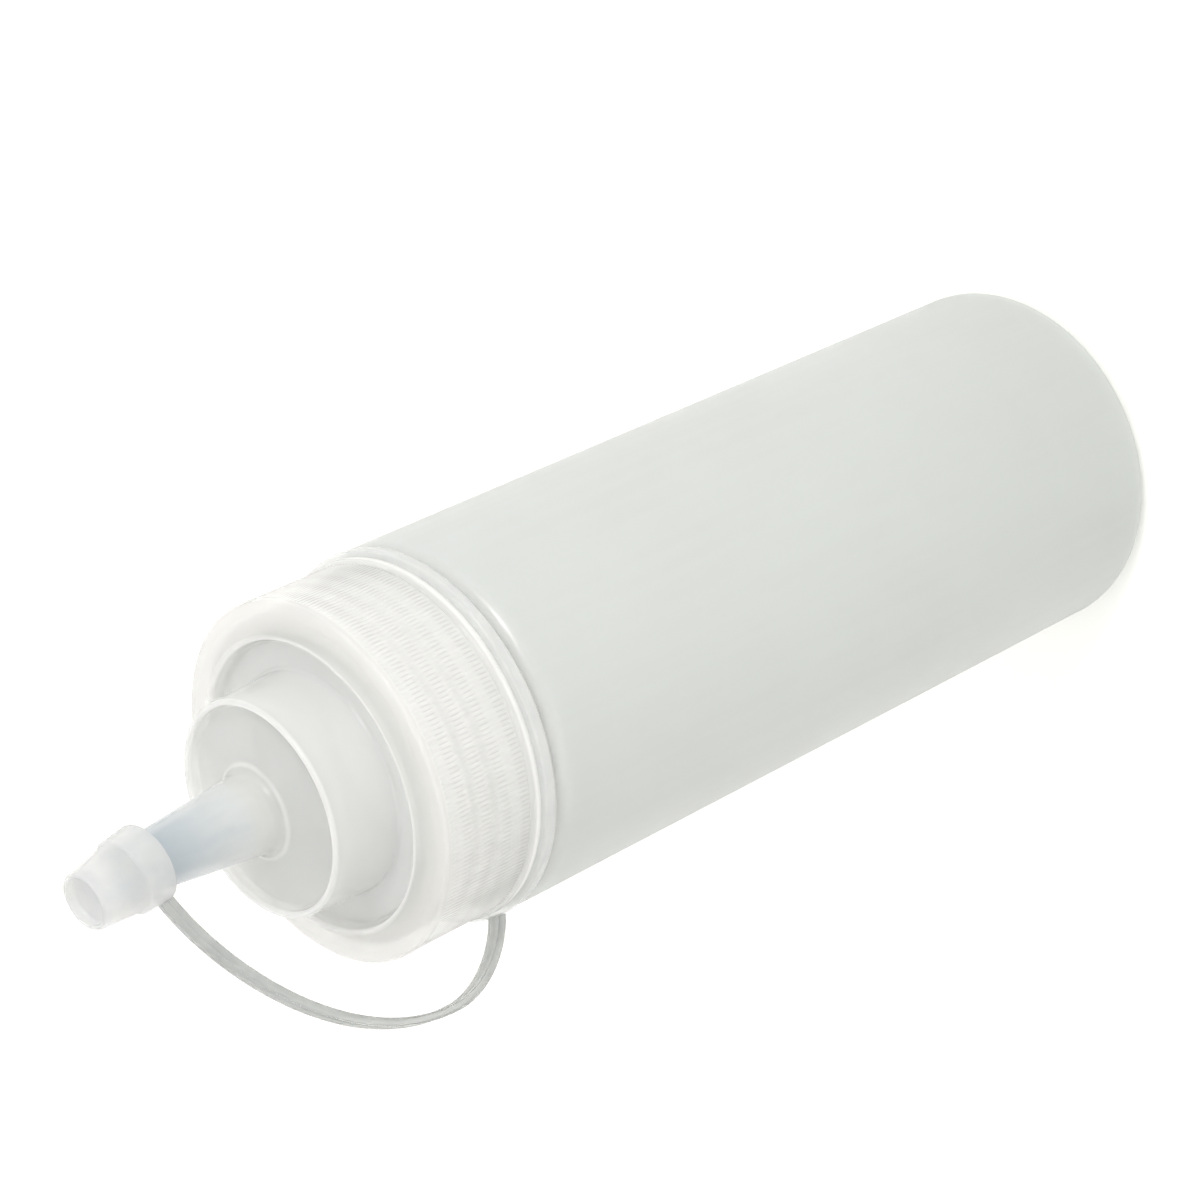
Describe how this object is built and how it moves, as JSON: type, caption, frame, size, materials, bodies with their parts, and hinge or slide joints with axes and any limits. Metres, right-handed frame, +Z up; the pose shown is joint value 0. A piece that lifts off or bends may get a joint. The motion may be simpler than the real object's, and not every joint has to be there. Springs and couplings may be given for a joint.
{
  "type": "condiment squeeze bottle",
  "caption": "Squeeze bottle for sauces, with a ribbed screw-on nozzle top and a small tip cap held by a leash.",
  "frame": {"origin": "middle of the base, on the surface that the bottle stands on", "axes": "+Z up the bottle's axis to the nozzle; the leash strap bows out towards -X; +Y away from the side that the picture was taken from"},
  "size_m": [0.0759, 0.0654, 0.2245],
  "materials": {
    "bottle": "natural translucent polyethylene, satin",
    "sealing_washer": "soft foamed polyethylene, matt",
    "nozzle_closure": "natural translucent polyethylene, satin",
    "leash": "natural translucent polyethylene, satin"
  },
  "bodies": {
    "bottle": {"bottle": "bottle"},
    "washer": {"sealing_washer": "sealing_washer"},
    "closure": {"nozzle_closure": "nozzle_closure"},
    "leash": {"leash_ring": "leash", "leash_strap": "leash"},
    "tip_cap": {"tip_cap": "leash"}
  },
  "joints": [
    {"name": "closure_lift", "type": "slide", "parent": "bottle", "child": "washer", "axis": [0, 0, 1], "range_m": [0, 0.0127]},
    {"name": "closure_turn", "type": "hinge", "parent": "washer", "child": "closure", "pos_m": [0, 0, 0.165], "axis": [0, 0, 1], "range_deg": [0, 1080]},
    {"name": "leash_swivel", "type": "hinge", "parent": "closure", "child": "leash", "pos_m": [0, 0, 0.1548], "axis": [0, 0, 1], "continuous": true},
    {"name": "tip_cap_pull", "type": "slide", "parent": "leash", "child": "tip_cap", "axis": [-0.108, 0, 0.9942], "range_m": [0, 0.015], "deforming": ["leash_strap"]}
  ],
  "couplings": [
    {"joint": "closure_lift", "follows": "closure_turn", "m_per_rad": 0.00067322}
  ]
}
